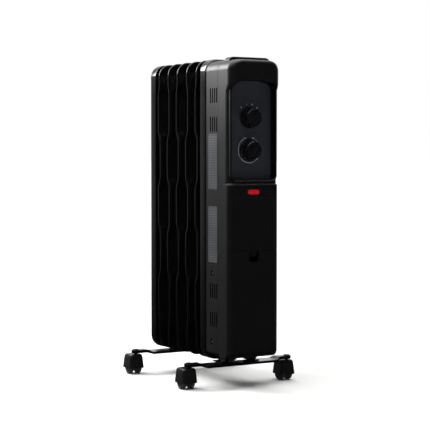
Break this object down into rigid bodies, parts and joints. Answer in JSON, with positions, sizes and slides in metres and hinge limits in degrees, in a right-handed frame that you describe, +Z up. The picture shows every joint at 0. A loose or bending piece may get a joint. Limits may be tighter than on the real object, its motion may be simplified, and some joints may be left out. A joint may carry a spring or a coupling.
{
  "type": "oil filled radiator heater",
  "caption": "Portable oil filled radiator: a row of stepped steel fins, a tall control housing with two knobs and a cord door, and cross bars on swivel casters.",
  "frame": {"origin": "on the floor under the middle of the heater's bounding box", "axes": "+Z up, +Y to the rear along the row of fins, +X to the right seen from the control panel"},
  "size_m": [0.2514, 0.319, 0.622],
  "materials": {
    "radiator_enamel": "black gloss enamel",
    "housing_black": "satin black",
    "panel_grey": "satin dark blue grey",
    "inner_plastic": "matt black",
    "handle_black": "fine grained",
    "knob_black": "ribbed, satin",
    "caster_plastic": "fine grained",
    "nylon_grey": "moulded nylon",
    "nylon_white": "moulded nylon",
    "phenolic_brown": "moulded phenolic",
    "lens_red": "clear red acrylic",
    "zinc_steel": "zinc plated",
    "brass": "turned"
  },
  "bodies": {
    "heater": {"fin_1_rear": "radiator_enamel", "fin_2": "radiator_enamel", "fin_3": "radiator_enamel", "fin_4": "radiator_enamel", "fin_5": "radiator_enamel", "fin_6": "radiator_enamel", "fin_7_front": "radiator_enamel", "oil_fill_plug": "zinc_steel", "heating_element": "zinc_steel", "main_shell": "housing_black", "upper_cover": "housing_black", "control_panel": "panel_grey", "cord_tray": "inner_plastic", "cord_gland": "nylon_grey", "door_hinge_rod": "zinc_steel", "handle_pocket": "inner_plastic", "top_handle": "handle_black", "rear_plate": "zinc_steel", "selector_switch": "nylon_white", "thermostat_body": "phenolic_brown", "indicator_lens": "lens_red", "indicator_lamp": "nylon_white", "thermal_cutoff": "zinc_steel", "terminal_block": "nylon_white", "tip_over_switch": "zinc_steel", "front_foot_bar": "radiator_enamel", "rear_foot_bar": "radiator_enamel", "front_foot_bracket": "radiator_enamel", "rear_foot_saddle": "radiator_enamel", "front_wing_bolt_left": "zinc_steel", "front_wing_bolt_right": "zinc_steel", "rear_clamp_bolt_left": "zinc_steel", "rear_clamp_bolt_right": "zinc_steel"},
    "selector": {"selector_knob": "knob_black", "selector_shaft": "brass"},
    "thermostat": {"thermostat_knob": "knob_black", "thermostat_shaft": "brass"},
    "door": {"lower_door": "housing_black"},
    "tip_pendulum": {"tip_over_pendulum": "brass"},
    "caster_front_left": {"caster_front_left_hood": "caster_plastic", "caster_front_left_stem": "zinc_steel", "caster_front_left_axle": "zinc_steel"},
    "wheel_front_left_left": {"caster_front_left_wheel_left": "nylon_grey"},
    "wheel_front_left_right": {"caster_front_left_wheel_right": "nylon_grey"},
    "caster_front_right": {"caster_front_right_hood": "caster_plastic", "caster_front_right_stem": "zinc_steel", "caster_front_right_axle": "zinc_steel"},
    "wheel_front_right_left": {"caster_front_right_wheel_left": "nylon_grey"},
    "wheel_front_right_right": {"caster_front_right_wheel_right": "nylon_grey"},
    "caster_rear_left": {"caster_rear_left_hood": "caster_plastic", "caster_rear_left_stem": "zinc_steel", "caster_rear_left_axle": "zinc_steel"},
    "wheel_rear_left_left": {"caster_rear_left_wheel_left": "nylon_grey"},
    "wheel_rear_left_right": {"caster_rear_left_wheel_right": "nylon_grey"},
    "caster_rear_right": {"caster_rear_right_hood": "caster_plastic", "caster_rear_right_stem": "zinc_steel", "caster_rear_right_axle": "zinc_steel"},
    "wheel_rear_right_left": {"caster_rear_right_wheel_left": "nylon_grey"},
    "wheel_rear_right_right": {"caster_rear_right_wheel_right": "nylon_grey"}
  },
  "joints": [
    {"name": "selector_turn", "type": "hinge", "parent": "heater", "child": "selector", "pos_m": [0, -0.1335, 0.509], "axis": [0, 1, 0], "range_deg": [0, 84]},
    {"name": "thermostat_turn", "type": "hinge", "parent": "heater", "child": "thermostat", "pos_m": [0, -0.1335, 0.4484], "axis": [0, 1, 0], "range_deg": [0, 300]},
    {"name": "door_tilt", "type": "hinge", "parent": "heater", "child": "door", "pos_m": [0, -0.1382, 0.0715], "axis": [1, 0, 0], "range_deg": [0, 60]},
    {"name": "tip_swing", "type": "hinge", "parent": "heater", "child": "tip_pendulum", "pos_m": [0.037, -0.089, 0.298], "axis": [0, 1, 0], "range_deg": [-25, 25]},
    {"name": "swivel_front_left", "type": "hinge", "parent": "heater", "child": "caster_front_left", "pos_m": [-0.1097, -0.096, 0.045], "axis": [0, 0, 1], "continuous": true},
    {"name": "roll_front_left_left", "type": "hinge", "parent": "caster_front_left", "child": "wheel_front_left_left", "pos_m": [-0.1186, -0.086, 0.0135], "axis": [1, 0, 0], "continuous": true},
    {"name": "roll_front_left_right", "type": "hinge", "parent": "caster_front_left", "child": "wheel_front_left_right", "pos_m": [-0.1008, -0.086, 0.0135], "axis": [1, 0, 0], "continuous": true},
    {"name": "swivel_front_right", "type": "hinge", "parent": "heater", "child": "caster_front_right", "pos_m": [0.1097, -0.096, 0.045], "axis": [0, 0, 1], "continuous": true},
    {"name": "roll_front_right_left", "type": "hinge", "parent": "caster_front_right", "child": "wheel_front_right_left", "pos_m": [0.1008, -0.086, 0.0135], "axis": [1, 0, 0], "continuous": true},
    {"name": "roll_front_right_right", "type": "hinge", "parent": "caster_front_right", "child": "wheel_front_right_right", "pos_m": [0.1186, -0.086, 0.0135], "axis": [1, 0, 0], "continuous": true},
    {"name": "swivel_rear_left", "type": "hinge", "parent": "heater", "child": "caster_rear_left", "pos_m": [-0.1097, 0.1202, 0.045], "axis": [0, 0, 1], "continuous": true},
    {"name": "roll_rear_left_left", "type": "hinge", "parent": "caster_rear_left", "child": "wheel_rear_left_left", "pos_m": [-0.1186, 0.1302, 0.0135], "axis": [1, 0, 0], "continuous": true},
    {"name": "roll_rear_left_right", "type": "hinge", "parent": "caster_rear_left", "child": "wheel_rear_left_right", "pos_m": [-0.1008, 0.1302, 0.0135], "axis": [1, 0, 0], "continuous": true},
    {"name": "swivel_rear_right", "type": "hinge", "parent": "heater", "child": "caster_rear_right", "pos_m": [0.1097, 0.1202, 0.045], "axis": [0, 0, 1], "continuous": true},
    {"name": "roll_rear_right_left", "type": "hinge", "parent": "caster_rear_right", "child": "wheel_rear_right_left", "pos_m": [0.1008, 0.1302, 0.0135], "axis": [1, 0, 0], "continuous": true},
    {"name": "roll_rear_right_right", "type": "hinge", "parent": "caster_rear_right", "child": "wheel_rear_right_right", "pos_m": [0.1186, 0.1302, 0.0135], "axis": [1, 0, 0], "continuous": true}
  ]
}
